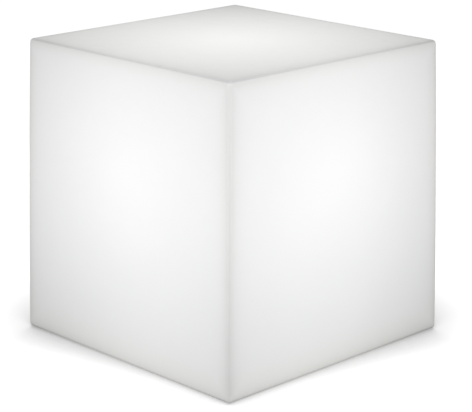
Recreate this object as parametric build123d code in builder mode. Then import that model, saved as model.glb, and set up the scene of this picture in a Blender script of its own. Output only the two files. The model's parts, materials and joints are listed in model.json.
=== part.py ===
from build123d import *

import os
from math import cos, radians, sin, sqrt

# A glowing cube light: a hollow milky shade with a battery light unit screwed into its underside.
# Millimetres. The origin is on the floor under the middle of the cube, with +Z up.

os.makedirs("parts", exist_ok=True)

# ---------------------------------------------------------------- driving dimensions

# Shade
cube_side = 400.0
face_crown = 0.8
shell_wall = 4.5
edge_radius = 5.5
inner_edge_radius = 3.0
recess_depth = 26.0
recess_mouth_radius = 3.0
recess_corner_radius = 1.5

# Feet
foot_proud = 1.0
foot_radius = 12.0
foot_inset = 50.0
foot_recess_depth = 1.5
foot_edge_radius = 0.5
foot_clearance = 0.3

# Screws: thread, head diameter, head height
m4_thread = 4.0
m4_head = 8.0
m4_head_height = 2.6
m3_thread = 3.0
m3_head = 5.6
m3_head_height = 2.0
m25_thread = 2.5
m25_head = 4.7
m25_head_height = 1.7
head_round_share = 0.45
tip_chamfer_share = 0.15
cross_span_share = 0.62
cross_slot_share = 0.15
cross_depth_share = 0.6
thread_clearance = 0.05
hole_clearance = 0.3

# Housing of the light unit
floor_thickness = 3.5
housing_wall = 3.0
flange_thickness = 4.0
flange_edge_radius = 1.0
opening_clearance = 2.0
flange_margin = 3.6
recess_clearance = 4.0
pillar_radius = 4.5
pillar_bite = 0.6
pillar_count = 4
screw_bite = 8.0
pilot_extra = 1.5
standoff_height = 12.0
standoff_radius = 3.2

# Flange seal and its screws
gasket_inset = 1.5
gasket_width = 4.5
gasket_thickness = 1.8
groove_clearance = 0.2
screw_margin = 1.6
mount_screw_count = 6
mount_screw_start = 30.0
seal_outer_radius = 4.4
seal_thickness = 0.8
insert_radius = 3.0
insert_length = 8.0
insert_groove_depth = 0.4
insert_groove_width = 1.6
insert_boss_wall = 4.0
insert_boss_cap = 2.5
insert_tip_room = 1.0

# Control board
board_width = 48.0
board_depth = 52.0
board_thickness = 1.6
board_hole_inset = 3.5
board_corner_radius = 1.8
board_screw_length = 8.0
board_gap = 1.0
component_room = 15.0
chip_side = 7.0
chip_height = 1.0
chip_edge = 0.25
inductor_side = 10.0
inductor_height = 5.0
inductor_corner = 2.0
coil_radius = 4.2
coil_proud = 0.4
capacitor_radius = 3.15
capacitor_height = 9.0
capacitor_rim_radius = 0.3
capacitor_spacing = 9.4
header_width = 7.0
header_depth = 8.0
header_height = 4.5
plug_proud = 3.0
plug_side_gap = 1.0
plug_fit = 0.1

# Power button
button_radius = 6.0
button_clearance = 0.08
button_proud = 0.8
button_travel = 1.0
button_edge_radius = 0.6
button_collar_radius = 1.8
button_collar_thickness = 1.2
button_nub_radius = 1.8
button_offset = 10.0
guide_wall = 2.4
guide_height = 4.5
mark_radius = 2.6
mark_width = 0.6
mark_depth = 0.3
mark_gap = 2.2
o_ring_section = 1.5
o_ring_clearance = 0.04
o_ring_height = 3.8
switch_side = 6.0
switch_height = 3.5
switch_corner = 0.3
plunger_radius = 1.6
plunger_gap = 0.5
plunger_depth = 1.4
plunger_end_room = 0.2

# Charging socket
socket_bore_radius = 2.8
socket_bore_depth = 10.0
socket_barrel_radius = 5.4
socket_barrel_length = 14.5
socket_flange_radius = 6.6
socket_flange_thickness = 1.2
socket_rear_radius = 4.6
socket_rear_length = 3.0
socket_washer_thickness = 0.5
socket_fit = 0.1
socket_gap = 3.0
pin_radius = 1.0
pin_recess = 2.0
pin_seat_depth = 1.4
pin_fit = 0.02
pin_tip_radius = 0.5
nut_across_flats = 14.0
nut_thickness = 2.5
terminal_width = 2.0
terminal_thickness = 0.5
terminal_height = 6.0
terminal_offset = 2.4

# Flap over the socket
flap_margin = 0.6
flap_thickness = 1.8
flap_stub_radius = 2.2
flap_stub_length = 1.5
flap_strap_width = 6.0
flap_strap_thickness = 1.2
flap_strap_drop = 0.2
flap_strap_length = 3.6
flap_tab_length = 1.6
anchor_gap = 0.3
anchor_length = 8.0
anchor_thickness = 1.6
anchor_stem_radius = 1.8
anchor_stem_offset = 4.4
anchor_head_radius = 2.8
anchor_head_thickness = 1.2
anchor_fit = 0.1
anchor_corner_radius = 2.0

# Charge indicator and vent
indicator_offset = 14.0
lens_radius = 1.5
lens_collar_radius = 2.4
lens_collar_thickness = 1.0
lens_fit = 0.05
lens_gap = 0.3
indicator_width = 3.0
indicator_depth = 2.0
indicator_height = 1.0
vent_angle = -67.5
vent_inward = 9.0
vent_cap_radius = 5.5
vent_cap_thickness = 1.2
vent_slot_width = 0.8
vent_slot_depth = 0.5
vent_slot_count = 3
vent_stem_radius = 3.0
vent_fit = 0.1
vent_catch_radius = 3.6
vent_catch_thickness = 1.0

# Battery
cell_radius = 9.2
cell_length = 65.0
cell_spacing = 1.2
cell_fit = 0.2
cell_groove_depth = 0.4
cell_groove_width = 1.6
cell_groove_inset = 4.0
strap_thickness = 0.3
strap_height = 8.0
strap_tab_width = 8.0
tray_thickness = 2.4
tray_clearance = 1.0
tray_boss_height = 3.0
tray_screw_length = 9.0
cradle_thickness = 3.0
cradle_height = 7.0
cradle_spacing = 40.0
cradle_side = 2.0
notch_clearance = 0.5
clamp_width = 12.0
clamp_thickness = 1.6
clamp_foot = 10.0
clamp_side_gap = 2.5
clamp_screw_length = 6.0

# Leads
lead_radius = 0.7
lead_bend = 2.0
lead_pitch = 2.6
battery_lead_reach = 4.0
lead_slot_margin = 2.3
lead_notch_width = 9.0
lead_solder_inset = 1.3
lead_rise = 3.4
led_lead_rise = 7.5

# Light source
plate_thickness = 2.0
plate_clearance = 0.5
plate_gap = 1.5
led_board_thickness = 1.6
led_board_margin = 7.5
led_side = 5.0
led_height = 1.6
led_lens_radius = 2.0
led_lens_depth = 0.3
outer_led_count = 12
inner_led_count = 6
outer_led_inset = 7.0
inner_led_radius = 12.0
led_screw_count = 3
led_screw_radius = 18.0
led_screw_length = 4.0
connector_width = 6.0
connector_depth = 6.0
connector_height = 4.0
connector_inset = 1.0
connector_edge = 0.5
grommet_bore = 2.2
grommet_wall = 0.8
grommet_lip = 0.8
grommet_lip_thickness = 0.8
dome_wall = 2.0
dome_height = 26.0
dome_flange_thickness = 3.0
dome_screw_gap = 1.2
dome_gasket_thickness = 1.0

# ---------------------------------------------------------------- derived sizes and places

cell_offset = cell_radius + cell_spacing / 2
nut_corner_radius = nut_across_flats / sqrt(3)

# The housing's bore is as small as its contents allow.
pillar_room = 2 * pillar_radius - pillar_bite
bore_for_cells = cell_length / 2 + strap_thickness + battery_lead_reach + lead_slot_margin + pillar_room
bore_for_board_depth = sqrt(2) * (board_depth / 2 + pillar_radius + board_gap) + pillar_radius - pillar_bite
bore_for_board_width = pillar_room + nut_corner_radius + (board_width + socket_gap) / 2 + board_gap
bore_for_clamp = cell_offset + cell_radius + clamp_side_gap + clamp_foot + tray_clearance
housing_bore = max(bore_for_cells, bore_for_board_depth, bore_for_board_width, bore_for_clamp)
housing_radius = housing_bore + housing_wall
pillar_circle = housing_bore - pillar_radius + pillar_bite
pillar_reach = pillar_circle - pillar_radius

# The flange grows outwards from the housing: opening, gasket, screws, edge, recess.
opening_radius = housing_radius + opening_clearance
gasket_inner = opening_radius + gasket_inset
gasket_outer = gasket_inner + gasket_width
screw_circle = gasket_outer + screw_margin + seal_outer_radius
flange_radius = screw_circle + seal_outer_radius + flange_margin
recess_radius = flange_radius + recess_clearance

# Heights, from the floor up
shell_bottom = foot_proud
seat_z = shell_bottom + recess_depth
flange_bottom = seat_z - flange_thickness
floor_top = flange_bottom + floor_thickness
board_bottom = floor_top + standoff_height
board_top = board_bottom + board_thickness
tray_bottom = board_top + component_room
tray_top = tray_bottom + tray_thickness
cell_z = tray_top + cell_fit + cell_radius
clamp_under = cell_z + cell_radius + cell_fit
plate_bottom = clamp_under + clamp_thickness + plate_gap
rim_z = plate_bottom + plate_thickness
dome_seat = rim_z + dome_gasket_thickness
dome_flange_top = dome_seat + dome_flange_thickness
led_board_top = rim_z + led_board_thickness
mouth_z = flange_bottom - socket_washer_thickness - socket_flange_thickness

# Places in the plan
socket_x = pillar_reach - nut_corner_radius - socket_gap
board_right = socket_x - nut_corner_radius - board_gap
board_x = board_right - board_width / 2
board_left = board_right - board_width
board_hole_x = board_width - 2 * board_hole_inset
board_hole_y = board_depth - 2 * board_hole_inset
button_x = board_x - button_offset
indicator_x = button_x + indicator_offset
header_x = board_left + header_width / 2 + plug_side_gap
vent_x = (pillar_circle - vent_inward) * cos(radians(vent_angle))
vent_y = (pillar_circle - vent_inward) * sin(radians(vent_angle))
lead_x = cell_length / 2 + strap_thickness + battery_lead_reach
tray_slot_x = lead_x - lead_slot_margin
clamp_leg_y = cell_offset + cell_radius + clamp_side_gap
clamp_screw_y = clamp_leg_y + (clamp_foot + clamp_thickness) / 2
foot_place = cube_side / 2 - foot_inset

# Flap and its hinge
flap_radius = socket_flange_radius + flap_margin
strap_top = mouth_z - flap_strap_drop
hinge_z = strap_top - flap_strap_thickness / 2
hinge_y = flap_radius + flap_strap_length
anchor_y = hinge_y + anchor_gap
anchor_stem_y = anchor_y + anchor_stem_offset

# Radii of the light head
dome_screw_reach = pillar_circle - m3_head / 2 - dome_screw_gap
dome_inner = dome_screw_reach - dome_wall
led_board_radius = dome_inner - led_board_margin
outer_led_radius = led_board_radius - outer_led_inset
grommet_outer = grommet_bore + grommet_wall
grommet_y = dome_inner - grommet_outer
connector_y = led_board_radius - connector_inset - connector_depth / 2

# Screw lengths that follow what they hold
mount_screw_length = seal_thickness + flange_thickness + insert_length
dome_screw_length = dome_flange_thickness + dome_gasket_thickness + plate_thickness + screw_bite


# ---------------------------------------------------------------- shared shapes


def crowned_block(side, height, base_z, radius):
    """A block with flat ends, whose four upright faces bulge by face_crown at mid height."""
    foot = side / 2 - face_crown
    middle_z = base_z + height / 2
    top_z = base_z + height
    with BuildPart() as block:
        for plane, mode in ((Plane.XZ, Mode.ADD), (Plane.YZ, Mode.INTERSECT)):
            with BuildSketch(plane):
                with BuildLine():
                    Line((-foot, base_z), (foot, base_z))
                    ThreePointArc((foot, base_z), (side / 2, middle_z), (foot, top_z))
                    Line((foot, top_z), (-foot, top_z))
                    ThreePointArc((-foot, top_z), (-side / 2, middle_z), (-foot, base_z))
                make_face()
            extrude(amount=side, both=True, mode=mode)
        fillet(block.edges(), radius)
    return block.part


def flat_ring(outer, inner, base_z, height):
    """A plain ring on the Z axis."""
    with BuildPart() as ring:
        with BuildSketch(Plane.XY.offset(base_z)):
            Circle(outer)
            Circle(inner, mode=Mode.SUBTRACT)
        extrude(amount=height)
    return ring.part


def pan_head_screw(thread, length, head, head_height):
    """A screw with its head's underside on the XY plane, the shank below and a cross recess above."""
    with BuildPart() as screw:
        with BuildSketch():
            Circle(head / 2)
        extrude(amount=head_height)
        fillet(screw.edges().group_by(Axis.Z)[-1], head_height * head_round_share)
        with BuildSketch():
            Circle(thread / 2)
        extrude(amount=-length)
        chamfer(screw.edges().group_by(Axis.Z)[0], thread * tip_chamfer_share)
        with BuildSketch(Plane.XY.offset(head_height)):
            Rectangle(head * cross_span_share, head * cross_slot_share)
            Rectangle(head * cross_slot_share, head * cross_span_share)
        extrude(amount=-head_height * cross_depth_share, mode=Mode.SUBTRACT)
    return screw.part


def lead(*points):
    """A round wire along straight runs joined by tangent arcs."""
    with BuildPart() as wire:
        with BuildLine() as route:
            FilletPolyline(*points, radius=lead_bend)
        with BuildSketch(Plane(origin=route.line @ 0, z_dir=route.line % 0)):
            Circle(lead_radius)
        sweep(path=route.line)
    return wire.part


# ---------------------------------------------------------------- shade

shade_outside = crowned_block(cube_side, cube_side, shell_bottom, edge_radius)
shade_inside = crowned_block(
    cube_side - 2 * shell_wall, cube_side - 2 * shell_wall, shell_bottom + shell_wall, inner_edge_radius
)
ceiling_top = seat_z + shell_wall
insert_boss_radius = insert_radius + insert_boss_wall
insert_hole_top = seat_z + insert_length + insert_tip_room

with BuildPart() as cube_shell:
    add(shade_outside)
    add(shade_inside, mode=Mode.SUBTRACT)
    with BuildSketch(Plane.XY.offset(shell_bottom)):
        Circle(recess_radius + shell_wall)
    extrude(amount=ceiling_top - shell_bottom)
    with BuildSketch(Plane.XY.offset(seat_z)):
        with PolarLocations(screw_circle, mount_screw_count, start_angle=mount_screw_start):
            Circle(insert_boss_radius)
    extrude(amount=insert_hole_top + insert_boss_cap - seat_z)
    with BuildSketch(Plane.XY.offset(shell_bottom)):
        Circle(recess_radius)
    extrude(amount=recess_depth, mode=Mode.SUBTRACT)
    recess_edges = cube_shell.edges(Select.LAST).filter_by(GeomType.CIRCLE).sort_by(Axis.Z)
    fillet(recess_edges[0], recess_mouth_radius)
    fillet(recess_edges[-1], recess_corner_radius)
    with BuildSketch(Plane.XY.offset(seat_z)):
        Circle(opening_radius)
    extrude(amount=shell_wall, mode=Mode.SUBTRACT)
    with BuildSketch(Plane.XY.offset(seat_z)):
        with PolarLocations(screw_circle, mount_screw_count, start_angle=mount_screw_start):
            Circle(insert_radius + thread_clearance)
    extrude(amount=insert_hole_top - seat_z, mode=Mode.SUBTRACT)
    with BuildSketch(Plane.XY.offset(shell_bottom)):
        with GridLocations(2 * foot_place, 2 * foot_place, 2, 2):
            Circle(foot_radius + foot_clearance)
    extrude(amount=foot_recess_depth, mode=Mode.SUBTRACT)
cube_shell.part.label = "cube_shell"
export_step(cube_shell.part, "parts/cube_shell.step")

with BuildPart() as one_insert:
    with BuildSketch(Plane.XY):
        Circle(insert_radius)
        Circle(m4_thread / 2 + thread_clearance, mode=Mode.SUBTRACT)
    extrude(amount=insert_length)
    with BuildSketch(Plane.XY.offset((insert_length - insert_groove_width) / 2)):
        Circle(insert_radius)
        Circle(insert_radius - insert_groove_depth, mode=Mode.SUBTRACT)
    extrude(amount=insert_groove_width, mode=Mode.SUBTRACT)

with BuildPart(Plane.XY.offset(seat_z)) as shell_inserts:
    with PolarLocations(screw_circle, mount_screw_count, start_angle=mount_screw_start):
        add(one_insert.part)
shell_inserts.part.label = "shell_inserts"
export_step(shell_inserts.part, "parts/shell_inserts.step")

with BuildPart() as rubber_feet:
    with BuildSketch():
        with GridLocations(2 * foot_place, 2 * foot_place, 2, 2):
            Circle(foot_radius)
    extrude(amount=foot_proud + foot_recess_depth)
    fillet(rubber_feet.edges().group_by(Axis.Z)[0], foot_edge_radius)
rubber_feet.part.label = "rubber_feet"
export_step(rubber_feet.part, "parts/rubber_feet.step")

# ---------------------------------------------------------------- housing

guide_bore = button_radius + button_clearance
guide_top = floor_top + guide_height
pilot_depth = screw_bite + pilot_extra
board_pilot = board_screw_length - board_thickness + pilot_extra

with BuildPart() as housing:
    with BuildSketch(Plane.XY.offset(flange_bottom)):
        Circle(flange_radius)
    extrude(amount=flange_thickness)
    fillet(housing.edges().group_by(Axis.Z)[0], flange_edge_radius)
    with BuildSketch(Plane.XY.offset(flange_bottom)):
        Circle(housing_radius)
    extrude(amount=rim_z - flange_bottom)
    with BuildSketch(Plane.XY.offset(floor_top)):
        Circle(housing_bore)
    extrude(amount=rim_z - floor_top, mode=Mode.SUBTRACT)
    with BuildSketch(Plane.XY.offset(floor_top)):
        with PolarLocations(pillar_circle, pillar_count):
            Circle(pillar_radius)
    extrude(amount=plate_bottom - floor_top)
    with BuildSketch(Plane.XY.offset(floor_top)):
        with PolarLocations(pillar_circle, pillar_count, start_angle=180 / pillar_count):
            Circle(pillar_radius)
    extrude(amount=tray_bottom - floor_top)
    with BuildSketch(Plane.XY.offset(floor_top)):
        with Locations((board_x, 0)):
            with GridLocations(board_hole_x, board_hole_y, 2, 2):
                Circle(standoff_radius)
    extrude(amount=standoff_height)
    with BuildSketch(Plane.XY.offset(floor_top)):
        with Locations((button_x, 0)):
            Circle(guide_bore + guide_wall)
    extrude(amount=guide_height)
    # pilot holes, from the top of each pillar and standoff
    with BuildSketch(Plane.XY.offset(plate_bottom)):
        with PolarLocations(pillar_circle, pillar_count):
            Circle(m3_thread / 2 + thread_clearance)
    extrude(amount=-pilot_depth, mode=Mode.SUBTRACT)
    with BuildSketch(Plane.XY.offset(tray_bottom)):
        with PolarLocations(pillar_circle, pillar_count, start_angle=180 / pillar_count):
            Circle(m3_thread / 2 + thread_clearance)
    extrude(amount=-pilot_depth, mode=Mode.SUBTRACT)
    with BuildSketch(Plane.XY.offset(board_bottom)):
        with Locations((board_x, 0)):
            with GridLocations(board_hole_x, board_hole_y, 2, 2):
                Circle(m25_thread / 2 + thread_clearance)
    extrude(amount=-board_pilot, mode=Mode.SUBTRACT)
    # holes through the floor: button, socket, indicator, vent, flap anchor
    with BuildSketch(Plane.XY.offset(flange_bottom)):
        with Locations((button_x, 0)):
            Circle(guide_bore)
    extrude(amount=guide_top - flange_bottom, mode=Mode.SUBTRACT)
    with BuildSketch(Plane.XY.offset(flange_bottom)):
        with Locations((socket_x, 0)):
            Circle(socket_barrel_radius + socket_fit)
        with Locations((indicator_x, 0)):
            Circle(lens_radius + lens_fit)
        with Locations((vent_x, vent_y)):
            Circle(vent_stem_radius + vent_fit)
        with Locations((socket_x, anchor_stem_y)):
            Circle(anchor_stem_radius + anchor_fit)
    extrude(amount=floor_thickness, mode=Mode.SUBTRACT)
    # gasket groove and screw holes in the flange
    with BuildSketch(Plane.XY.offset(seat_z)):
        Circle(gasket_outer + groove_clearance)
        Circle(gasket_inner - groove_clearance, mode=Mode.SUBTRACT)
    extrude(amount=-gasket_thickness, mode=Mode.SUBTRACT)
    with BuildSketch(Plane.XY.offset(flange_bottom)):
        with PolarLocations(screw_circle, mount_screw_count, start_angle=mount_screw_start):
            Circle(m4_thread / 2 + hole_clearance)
    extrude(amount=flange_thickness, mode=Mode.SUBTRACT)

housing.part.label = "housing"
export_step(housing.part, "parts/housing.step")

# ---------------------------------------------------------------- flap over the socket

strap_length = hinge_y + flap_radius + flap_tab_length

with BuildPart() as socket_flap:
    with BuildSketch(Plane.XY.offset(mouth_z - flap_thickness)):
        with Locations((socket_x, 0)):
            Circle(flap_radius)
    extrude(amount=flap_thickness)
    with BuildSketch(Plane.XY.offset(mouth_z)):
        with Locations((socket_x, 0)):
            Circle(flap_stub_radius)
    extrude(amount=flap_stub_length)
    with BuildSketch(Plane.XY.offset(strap_top)):
        with Locations((socket_x, -flap_radius - flap_tab_length)):
            Rectangle(flap_strap_width, strap_length, align=(Align.CENTER, Align.MIN))
    extrude(amount=-flap_strap_thickness)
    with BuildSketch(Plane.YZ.offset(socket_x)):
        with Locations((hinge_y, hinge_z)):
            Circle(flap_strap_thickness / 2)
    extrude(amount=flap_strap_width / 2, both=True)
socket_flap.part.label = "socket_flap"
export_step(socket_flap.part, "parts/socket_flap.step")

with BuildPart() as flap_anchor:
    with BuildSketch(Plane.XY.offset(flange_bottom)):
        with Locations((socket_x, anchor_y)):
            Rectangle(flap_strap_width, anchor_length, align=(Align.CENTER, Align.MIN))
    extrude(amount=-anchor_thickness)
    fillet(flap_anchor.edges().filter_by(Axis.Z).group_by(Axis.Y)[-1], anchor_corner_radius)
    with BuildSketch(Plane.XY.offset(flange_bottom)):
        with Locations((socket_x, anchor_stem_y)):
            Circle(anchor_stem_radius)
    extrude(amount=floor_thickness)
    with BuildSketch(Plane.XY.offset(floor_top)):
        with Locations((socket_x, anchor_stem_y)):
            Circle(anchor_head_radius)
    extrude(amount=anchor_head_thickness)
flap_anchor.part.label = "flap_anchor"
export_step(flap_anchor.part, "parts/flap_anchor.step")

# ---------------------------------------------------------------- flange seal and screws

with BuildPart() as housing_gasket:
    add(flat_ring(gasket_outer, gasket_inner, seat_z - gasket_thickness, gasket_thickness))
housing_gasket.part.label = "housing_gasket"
export_step(housing_gasket.part, "parts/housing_gasket.step")

one_seal = flat_ring(seal_outer_radius, m4_thread / 2 + thread_clearance, -seal_thickness, seal_thickness)
with BuildPart(Plane.XY.offset(flange_bottom)) as screw_seals:
    with PolarLocations(screw_circle, mount_screw_count, start_angle=mount_screw_start):
        add(one_seal)
screw_seals.part.label = "screw_seals"
export_step(screw_seals.part, "parts/screw_seals.step")

mount_screw = pan_head_screw(m4_thread, mount_screw_length, m4_head, m4_head_height)
with BuildPart(Plane.XY.offset(flange_bottom - seal_thickness)) as housing_screws:
    with PolarLocations(screw_circle, mount_screw_count, start_angle=mount_screw_start):
        add(mount_screw, rotation=(180, 0, 0))
housing_screws.part.label = "housing_screws"
export_step(housing_screws.part, "parts/housing_screws.step")

# ---------------------------------------------------------------- power button and switch

switch_bottom = board_bottom - switch_height
plunger_reach = button_travel + plunger_gap
plunger_bottom = switch_bottom - plunger_reach
switch_bore_depth = plunger_depth + button_travel + plunger_end_room
button_collar_top = guide_top + button_collar_thickness
o_ring_outer = guide_bore - o_ring_clearance
o_ring_z = flange_bottom + o_ring_height
groove_radius = o_ring_outer - o_ring_section - o_ring_clearance
groove_width = o_ring_section + 2 * o_ring_clearance

with BuildPart() as button_cap:
    with BuildSketch(Plane((button_x, 0, flange_bottom - button_proud))):
        Circle(button_radius)
    extrude(amount=guide_top + button_proud - flange_bottom)
    fillet(button_cap.edges().group_by(Axis.Z)[0], button_edge_radius)
    with BuildSketch(Plane((button_x, 0, guide_top))):
        Circle(button_radius + button_collar_radius)
    extrude(amount=button_collar_thickness)
    with BuildSketch(Plane((button_x, 0, button_collar_top))):
        Circle(button_nub_radius)
    extrude(amount=plunger_bottom - button_collar_top)
    with BuildSketch(Plane((button_x, 0, o_ring_z - groove_width / 2))):
        Circle(button_radius)
        Circle(groove_radius, mode=Mode.SUBTRACT)
    extrude(amount=groove_width, mode=Mode.SUBTRACT)
    # the usual power mark, a ring broken by an upright bar, sunk into the face
    with BuildSketch(Plane((button_x, 0, flange_bottom - button_proud))):
        Circle(mark_radius)
        Circle(mark_radius - mark_width, mode=Mode.SUBTRACT)
        with Locations((0, mark_radius)):
            Rectangle(mark_gap, 2 * mark_radius, mode=Mode.SUBTRACT)
        with Locations((0, mark_radius - mark_width)):
            Rectangle(mark_width, mark_radius)
    extrude(amount=mark_depth, mode=Mode.SUBTRACT)
button_cap.part.label = "button_cap"
export_step(button_cap.part, "parts/button_cap.step")

with BuildPart() as button_o_ring:
    with BuildSketch(Plane((button_x, 0, o_ring_z), x_dir=(1, 0, 0), z_dir=(0, -1, 0))):
        with Locations((o_ring_outer - o_ring_section / 2, 0)):
            Circle(o_ring_section / 2)
    revolve(axis=Axis((button_x, 0, 0), (0, 0, 1)))
button_o_ring.part.label = "button_o_ring"
export_step(button_o_ring.part, "parts/button_o_ring.step")

with BuildPart() as switch_plunger:
    with BuildSketch(Plane((button_x, 0, plunger_bottom))):
        Circle(plunger_radius)
    extrude(amount=plunger_reach + plunger_depth)
switch_plunger.part.label = "switch_plunger"
export_step(switch_plunger.part, "parts/switch_plunger.step")

with BuildPart() as tact_switch:
    with BuildSketch(Plane((button_x, 0, switch_bottom))):
        Rectangle(switch_side, switch_side)
    extrude(amount=switch_height)
    chamfer(tact_switch.edges().filter_by(Axis.Z), switch_corner)
    with BuildSketch(Plane((button_x, 0, switch_bottom))):
        Circle(plunger_radius + button_clearance)
    extrude(amount=switch_bore_depth, mode=Mode.SUBTRACT)
tact_switch.part.label = "tact_switch"
export_step(tact_switch.part, "parts/tact_switch.step")

# ---------------------------------------------------------------- charging socket

socket_rear = mouth_z + socket_barrel_length
terminal_base = socket_rear + socket_rear_length

with BuildPart() as charge_socket:
    with BuildSketch(Plane((socket_x, 0, mouth_z))):
        Circle(socket_flange_radius)
    extrude(amount=socket_flange_thickness)
    with BuildSketch(Plane((socket_x, 0, mouth_z))):
        Circle(socket_barrel_radius)
    extrude(amount=socket_barrel_length)
    with BuildSketch(Plane((socket_x, 0, socket_rear))):
        Circle(socket_rear_radius)
    extrude(amount=socket_rear_length)
    with BuildSketch(Plane((socket_x, 0, mouth_z))):
        Circle(socket_bore_radius)
    extrude(amount=socket_bore_depth, mode=Mode.SUBTRACT)
    with BuildSketch(Plane((socket_x, 0, mouth_z + socket_bore_depth))):
        Circle(pin_radius + pin_fit)
    extrude(amount=pin_seat_depth, mode=Mode.SUBTRACT)
charge_socket.part.label = "charge_socket"
export_step(charge_socket.part, "parts/charge_socket.step")

with BuildPart() as socket_pin:
    with BuildSketch(Plane((socket_x, 0, mouth_z + pin_recess))):
        Circle(pin_radius)
    extrude(amount=socket_bore_depth - pin_recess + pin_seat_depth)
    fillet(socket_pin.edges().group_by(Axis.Z)[0], pin_tip_radius)
socket_pin.part.label = "socket_pin"
export_step(socket_pin.part, "parts/socket_pin.step")

with BuildPart() as socket_terminals:
    with BuildSketch(Plane((socket_x, 0, terminal_base))):
        with GridLocations(0, 2 * terminal_offset, 1, 2):
            Rectangle(terminal_width, terminal_thickness)
    extrude(amount=terminal_height)
socket_terminals.part.label = "socket_terminals"
export_step(socket_terminals.part, "parts/socket_terminals.step")

with BuildPart(Plane((socket_x, 0, 0))) as socket_washer:
    add(
        flat_ring(
            socket_flange_radius,
            socket_barrel_radius + thread_clearance,
            flange_bottom - socket_washer_thickness,
            socket_washer_thickness,
        )
    )
socket_washer.part.label = "socket_washer"
export_step(socket_washer.part, "parts/socket_washer.step")

with BuildPart() as socket_nut:
    with BuildSketch(Plane((socket_x, 0, floor_top))):
        RegularPolygon(nut_across_flats / 2, 6, major_radius=False)
        Circle(socket_barrel_radius + thread_clearance, mode=Mode.SUBTRACT)
    extrude(amount=nut_thickness)
socket_nut.part.label = "socket_nut"
export_step(socket_nut.part, "parts/socket_nut.step")

# ---------------------------------------------------------------- indicator and vent

lens_length = board_bottom - indicator_height - lens_gap - flange_bottom

with BuildPart() as indicator_lens:
    with BuildSketch(Plane((indicator_x, 0, flange_bottom))):
        Circle(lens_radius)
    extrude(amount=lens_length)
    with BuildSketch(Plane((indicator_x, 0, floor_top))):
        Circle(lens_collar_radius)
    extrude(amount=lens_collar_thickness)
indicator_lens.part.label = "indicator_lens"
export_step(indicator_lens.part, "parts/indicator_lens.step")

with BuildPart() as indicator_led:
    with BuildSketch(Plane((indicator_x, 0, board_bottom))):
        Rectangle(indicator_width, indicator_depth)
    extrude(amount=-indicator_height)
indicator_led.part.label = "indicator_led"
export_step(indicator_led.part, "parts/indicator_led.step")

with BuildPart() as vent_plug:
    with BuildSketch(Plane((vent_x, vent_y, flange_bottom))):
        Circle(vent_cap_radius)
    extrude(amount=-vent_cap_thickness)
    with BuildSketch(Plane((vent_x, vent_y, flange_bottom - vent_cap_thickness))):
        with GridLocations(0, vent_cap_radius / 2, 1, vent_slot_count):
            SlotOverall(vent_cap_radius, vent_slot_width)
    extrude(amount=vent_slot_depth, mode=Mode.SUBTRACT)
    with BuildSketch(Plane((vent_x, vent_y, flange_bottom))):
        Circle(vent_stem_radius)
    extrude(amount=floor_thickness)
    with BuildSketch(Plane((vent_x, vent_y, floor_top))):
        Circle(vent_catch_radius)
    extrude(amount=vent_catch_thickness)
vent_plug.part.label = "vent_plug"
export_step(vent_plug.part, "parts/vent_plug.step")

# ---------------------------------------------------------------- control board

pad_x = board_right - board_hole_inset
led_pad_x = board_x - lead_pitch
led_pad_y = board_depth / 2 - header_depth + lead_bend

with BuildPart() as control_board:
    with BuildSketch(Plane((board_x, 0, board_bottom))):
        RectangleRounded(board_width, board_depth, board_corner_radius)
        with GridLocations(board_hole_x, board_hole_y, 2, 2):
            Circle(m25_thread / 2 + hole_clearance, mode=Mode.SUBTRACT)
    extrude(amount=board_thickness)
control_board.part.label = "control_board"
export_step(control_board.part, "parts/control_board.step")

board_screw = pan_head_screw(m25_thread, board_screw_length, m25_head, m25_head_height)
with BuildPart(Plane((board_x, 0, board_top))) as board_screws:
    with GridLocations(board_hole_x, board_hole_y, 2, 2):
        add(board_screw)
board_screws.part.label = "board_screws"
export_step(board_screws.part, "parts/board_screws.step")

component_column = board_width / 2 - inductor_side
component_row = board_depth / 2 - inductor_side - board_gap
third_capacitor_x = capacitor_spacing - component_column

with BuildPart() as driver_chip:
    with BuildSketch(Plane((board_x, -component_row, board_top))):
        Rectangle(chip_side, chip_side)
    extrude(amount=chip_height)
    chamfer(driver_chip.edges().group_by(Axis.Z)[-1], chip_edge)
driver_chip.part.label = "driver_chip"
export_step(driver_chip.part, "parts/driver_chip.step")

with BuildPart() as logic_chip:
    with BuildSketch(Plane((board_x, 0, board_top))):
        Rectangle(chip_side, chip_side)
    extrude(amount=chip_height)
    chamfer(logic_chip.edges().group_by(Axis.Z)[-1], chip_edge)
logic_chip.part.label = "logic_chip"
export_step(logic_chip.part, "parts/logic_chip.step")

with BuildPart() as power_inductor:
    with BuildSketch(Plane((board_x + component_column, -component_row, board_top))):
        RectangleRounded(inductor_side, inductor_side, inductor_corner)
    extrude(amount=inductor_height)
    with BuildSketch(Plane((board_x + component_column, -component_row, board_top + inductor_height))):
        Circle(coil_radius)
    extrude(amount=coil_proud)
power_inductor.part.label = "power_inductor"
export_step(power_inductor.part, "parts/power_inductor.step")

with BuildPart() as capacitors:
    with BuildSketch(Plane((board_x, component_row, board_top))):
        with Locations((component_column, 0), (-component_column, 0), (third_capacitor_x, 0)):
            Circle(capacitor_radius)
    extrude(amount=capacitor_height)
    capacitor_rims = capacitors.edges().group_by(Axis.Z)[-1]
    fillet(capacitor_rims, capacitor_rim_radius)
capacitors.part.label = "capacitors"
export_step(capacitors.part, "parts/capacitors.step")

header_top = board_top + header_height
plug_top = header_top + plug_proud
plug_room_width = header_width - 2 * plug_side_gap
plug_room_depth = header_depth - 2 * plug_side_gap

with BuildPart() as battery_header:
    with BuildSketch(Plane((header_x, 0, board_top))):
        Rectangle(header_width, header_depth)
    extrude(amount=header_height)
    with BuildSketch(Plane((header_x, 0, header_top))):
        Rectangle(plug_room_width, plug_room_depth)
    extrude(amount=-plug_proud, mode=Mode.SUBTRACT)
battery_header.part.label = "battery_header"
export_step(battery_header.part, "parts/battery_header.step")

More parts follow.
